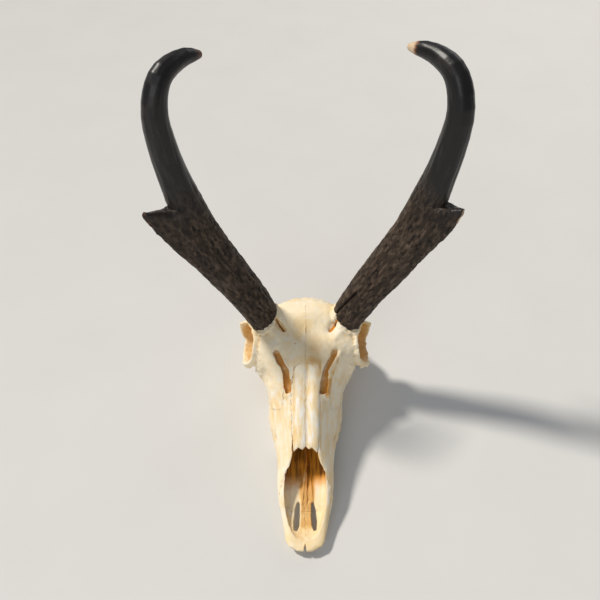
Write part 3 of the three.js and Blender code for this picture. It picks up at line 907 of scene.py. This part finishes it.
# %% Wires
class Wire:
    def __init__(self, tree, socket):
        self.tree = tree
        self.socket = socket

    def maths(self, operation, first, second):
        node = self.tree.nodes.new("ShaderNodeMath")
        node.operation = operation
        for socket, value in zip(node.inputs, (first, second)):
            plug(self.tree, socket, value)
        return Wire(self.tree, node.outputs[0])

    def __add__(self, other):
        return self.maths("ADD", self, other)

    def __radd__(self, other):
        return self.maths("ADD", other, self)

    def __sub__(self, other):
        return self.maths("SUBTRACT", self, other)

    def __rsub__(self, other):
        return self.maths("SUBTRACT", other, self)

    def __mul__(self, other):
        return self.maths("MULTIPLY", self, other)

    def __rmul__(self, other):
        return self.maths("MULTIPLY", other, self)


def plug(tree, socket, value):
    if isinstance(value, Wire):
        tree.links.new(value.socket, socket)
    else:
        socket.default_value = value


# %% A finish
MIX_SHARE, MIX_FIRST, MIX_SECOND, MIX_COLOUR = 0, 6, 7, 2


class Finish:
    def __init__(self, name):
        self.material = bpy.data.materials.new(name)
        self.material.use_nodes = True
        self.tree = self.material.node_tree
        self.shader = self.tree.nodes["Principled BSDF"]
        self.place = self.node("ShaderNodeTexCoord", out="Object")

    def node(self, kind, settings=None, sockets=None, out=0):
        made = self.tree.nodes.new(kind)
        for name, value in (settings or {}).items():
            setattr(made, name, value)
        for name, value in (sockets or {}).items():
            plug(self.tree, made.inputs[name], value)
        return Wire(self.tree, made.outputs[out])

    def stored(self, name):
        return self.node("ShaderNodeAttribute", {"attribute_name": name}, out="Fac")

    def noise(self, size, detail=4.0, place=None):
        sockets = {"Vector": place or self.place, "Scale": 1000 / size, "Detail": detail}
        return self.node("ShaderNodeTexNoise", sockets=sockets)

    def ramp(self, value, low, high, start=0.0, end=1.0):
        sockets = {"Value": value, "From Min": low, "From Max": high, "To Min": start, "To Max": end}
        return self.node("ShaderNodeMapRange", {"interpolation_type": "SMOOTHSTEP"}, sockets)

    def mix(self, share, first, second):
        sockets = {MIX_SHARE: share, MIX_FIRST: first, MIX_SECOND: second}
        return self.node("ShaderNodeMix", {"data_type": "RGBA"}, sockets, MIX_COLOUR)

    def bump(self, height, strength, distance):
        sockets = {"Height": height, "Strength": strength, "Distance": distance / 1000}
        return self.node("ShaderNodeBump", sockets=sockets)

    def set(self, **sockets):
        for name, value in sockets.items():
            plug(self.tree, self.shader.inputs[name.replace("_", " ")], value)

    def cover(self, pieces):
        for piece in pieces:
            piece.data.materials.append(self.material)
        print(self.material.name, "has", len(self.tree.nodes), "nodes")


# %% [markdown]
# ## Bone
# Old bone in the sun is ivory, chalky where it is bleached and waxy on the nose. Tan clouds lie under
# the surface, the hollows are tinted tan and orange, and the nose is painted brown and dark inside as
# shade. A painted picture would show its seams, so noise in three sizes, the stored stains and the
# painted shade choose between a few named colours.

# %% Bone without stains
IVORY = (0.94, 0.8, 0.56, 1)
CREAM = (0.9, 0.68, 0.37, 1)
CHALK = (0.92, 0.88, 0.8, 1)
TAN = (0.76, 0.46, 0.14, 1)
GRAIN_OF_FACE = (1, 0.1, 0.5)

bone = Finish("dry_bone")
broad = bone.noise(38, 3)
patches = bone.noise(13, 5)
fine = bone.noise(2.6, 4)
grain = bone.noise(0.7, 3)
along = bone.node("ShaderNodeMapping", sockets={"Vector": bone.place, "Scale": GRAIN_OF_FACE})
streaks = bone.noise(3.4, 4, along)
face = bone.stored("face")
colour = bone.mix(bone.ramp(broad, 0.38, 0.66), IVORY, CREAM)
colour = bone.mix(bone.ramp(patches, 0.52, 0.75) * 0.55, colour, CHALK)
colour = bone.mix(face * bone.ramp(streaks, 0.42, 0.68) * 0.65, colour, CHALK)
colour = bone.mix(face * bone.ramp(streaks, 0.46, 0.28) * 0.3, colour, TAN)
print("ivory, cream and chalk are mixed from five noises")

# %% Stains and painted shade on the bone
ORANGE = (0.6, 0.27, 0.04, 1)
BROWN = (0.72, 0.3, 0.02, 1)
DARK = (0.14, 0.05, 0.006, 1)
SEAM_BROWN = (0.3, 0.16, 0.06, 1)

warm = bone.stored("warm")
deep = bone.stored("deep")
# Tan and orange stains; deeper in the nose the orange is partly painted shade.
colour = bone.mix(bone.ramp(warm + 0.5 * (patches - 0.5), 0.12, 0.75) * 0.75, colour, TAN)
colour = bone.mix(bone.ramp(warm + 0.7 * (patches - 0.5), 0.45, 0.95) * 0.6, colour, ORANGE)
hollows = bone.stored("hollow") + 0.3 * (fine - 0.5)
colour = bone.mix(bone.ramp(hollows, 0.1, 0.9) * 0.45, colour, TAN)
# Painted shade: brown and dark deep in the nose, the slits, the eye sockets and the pits.
shadow = face * bone.ramp(streaks, 0.55, 0.4) * bone.ramp(deep, 0.35, 0.85)
inner = bone.mix(shadow, BROWN, DARK)
colour = bone.mix(bone.ramp(deep + 0.3 * (patches - 0.5), 0.1, 0.8), colour, inner)
# Dark seam lines, with faint painted contact shade round the horn bases.
seam_dirt_and_contact_shade = bone.stored("seam") * bone.ramp(fine, 0.25, 0.6, 0.35, 1.0) * 0.6
colour = bone.mix(seam_dirt_and_contact_shade, colour, SEAM_BROWN)
colour = bone.mix(bone.ramp(grain, 0.62, 0.8) * 0.22, colour, TAN)
print("stains bring the bone to", len(bone.tree.nodes), "nodes")

# %% Teeth and surface
ENAMEL = (0.84, 0.74, 0.56, 1)
TOOTH_STAIN = (0.16, 0.09, 0.04, 1)

tooth = bone.stored("tooth")
cleft_dirt = bone.ramp(bone.stored("cleft") + 0.5 * (patches - 0.5), 0.1, 0.8)
colour = bone.mix(tooth, colour, bone.mix(cleft_dirt * 0.85, ENAMEL, TOOTH_STAIN))
pores = bone.ramp(grain, 0.34, 0.5) + 0.8 * fine + 0.3 * bone.noise(0.35, 2)
bone.set(
    Base_Color=colour,
    Roughness=bone.ramp(patches, 0.3, 0.7, 0.42, 0.62) - 0.15 * tooth,
    Normal=bone.bump(pores, 0.35, 0.35),
    Specular_IOR_Level=0.4,
)
bone.cover(bone_pieces)

# %% [markdown]
# ## Horn
# The rough foot of the sheath is grey-brown on its ridges and nearly black in its pits. Above the prong
# it is black with a soft polish and streaks along it, and rubbing has left one tip pale and the other
# brown. The stored relief colours ridges and pits, so that colour and shape always agree.

# %% Horn colours
RIDGE = (0.11, 0.074, 0.05, 1)
BARK = (0.038, 0.024, 0.015, 1)
PIT = (0.006, 0.004, 0.003, 1)
BLACK = (0.007, 0.006, 0.006, 1)
STREAK = (0.032, 0.025, 0.023, 1)
PALE_TIP = (0.72, 0.55, 0.36, 1)
AMBER = (0.2, 0.075, 0.03, 1)

horn = Finish("horn_sheath")
fine = horn.noise(2.2, 4)
mottle = horn.noise(9, 4)
crumb = horn.noise(1.3, 3)
strands = horn.stored("strands")
relief = horn.stored("relief")
rough = horn.stored("rough")
foot = horn.mix(horn.ramp(relief + 1.6 * (crumb - 0.5), -0.3, 1.1), BARK, RIDGE)
foot = horn.mix(horn.ramp(relief + 1.2 * (crumb - 0.5), -0.2, -1.4) * 0.8, foot, PIT)
hook = horn.mix(horn.ramp(strands + 0.8 * (fine - 0.5), 0.15, 0.9) * 0.7, BLACK, STREAK)
colour = horn.mix(rough, hook, foot)
worn = horn.ramp(horn.stored("prong") + 0.5 * (mottle - 0.5), 0.35, 0.95)
worn = horn.stored("tip") + worn
colour = horn.mix(horn.ramp(worn, 0.0, 0.5), colour, AMBER)
rubbed = horn.ramp(worn, 0.25, 0.9) * horn.ramp(fine, 0.2, 0.6, 0.6, 1.0)
colour = horn.mix(rubbed, colour, PALE_TIP)
print("horn colours take", len(horn.tree.nodes), "nodes")

# %% Horn surface
horn.set(
    Base_Color=colour,
    Roughness=horn.ramp(rough + 0.3 * (fine - 0.5), 0.0, 1.0, 0.4, 0.55),
    Normal=horn.bump(rough * 1.6 * crumb + 0.35 * fine + 0.3 * strands, 0.55, 0.7),
    Coat_Weight=horn.ramp(rough + 0.5 * (fine - 0.5), 0.7, 0.1, 0.0, 0.22),
    Coat_Roughness=0.34,
    Specular_IOR_Level=0.26,
)
horn.cover(horn_pieces)

# %% [markdown]
# ## Floor
# A museum picture stands on plain pale paper. A curved backdrop would hide the horizon, but the camera
# looks down and never sees it. A single large face is enough, with a faint cloud in its colour.

# %% Floor
FLOOR_HALF = 40.0
PAPER_DARK = (0.62, 0.61, 0.59, 1)
PAPER_LIGHT = (0.66, 0.65, 0.63, 1)

sheet = bmesh.new()
bmesh.ops.create_grid(sheet, x_segments=1, y_segments=1, size=FLOOR_HALF)
floor = link("floor", bpy.data.meshes.new("floor"))
sheet.to_mesh(floor.data)
sheet.free()
paper = Finish("pale_floor")
paper.set(Base_Color=paper.mix(paper.noise(120, 3), PAPER_DARK, PAPER_LIGHT), Roughness=0.8)
paper.cover([floor])

# %% [markdown]
# ## Light
# The skull lay in the sun, which stood high at the upper left. A broad lamp would make the bone look
# flat, so the key light is a sun with soft edges. A weak cool fill from the front and a weak light from
# behind keep the shadows open. The plain view transform keeps the warm colours of the bone.

# %% Lamps
SUN_WAY = (1.06, -0.52, -1.6)
SUN_STRENGTH = 2.9
SUN_SPREAD = 7
SUN_COLOUR = (1.0, 0.95, 0.87)
LAMPS = {
    "fill": ((-0.5, -1.5, 1.3), (0, 0, 0.12), 1.4, 9, (0.86, 0.92, 1.0)),
    "rim": ((0.9, 1.5, 1.2), (0, 0, 0.2), 1.0, 4, (1.0, 0.98, 0.95)),
}


def aim(holder, way):
    holder.rotation_euler = Vector(way).to_track_quat("-Z", "Y").to_euler()


sun = bpy.data.lights.new("key", "SUN")
sun.energy = SUN_STRENGTH
sun.angle = math.radians(SUN_SPREAD)
sun.color = SUN_COLOUR
aim(link("key", sun), SUN_WAY)
for name, (place, target, size, power, tint) in LAMPS.items():
    lamp = bpy.data.lights.new(name, "AREA")
    lamp.shape = "DISK"
    lamp.size = size
    lamp.energy = power
    lamp.color = tint
    holder = link(name, lamp)
    holder.location = place
    aim(holder, Vector(target) - Vector(place))
print("a sun and", len(LAMPS), "lamps")

# %% Sky
SKY_COLOUR = (0.8, 0.85, 0.92, 1)
SKY_STRENGTH = 0.27

sky = bpy.data.worlds.new("studio")
sky.use_nodes = True
backdrop = sky.node_tree.nodes["Background"]
backdrop.inputs["Color"].default_value = SKY_COLOUR
backdrop.inputs["Strength"].default_value = SKY_STRENGTH
bpy.context.scene.world = sky
bpy.context.scene.view_settings.view_transform = "Standard"
print("sky of strength", SKY_STRENGTH)

# %% [markdown]
# ## Camera
# The picture was taken from in front of the snout, looking down by fifty degrees. The place and the lens
# come from fitting known points of the skull to the picture. A target to track would do as well, but a
# plain angle can be read off.

# %% Camera
CAMERA_STATION = -168
CAMERA_HEIGHT = 607
LOOK_DOWN = 50

camera = bpy.data.cameras.new("camera")
camera.lens = 33
camera.sensor_width = 36
camera.shift_x = -0.012
viewer = link("camera", camera)
viewer.location = (0, (CAMERA_STATION + STATION_ZERO) / 1000, CAMERA_HEIGHT / 1000)
viewer.rotation_euler = (math.radians(90 - LOOK_DOWN), 0, 0)
bpy.context.scene.camera = viewer
print("camera at", [round(v, 3) for v in viewer.location])
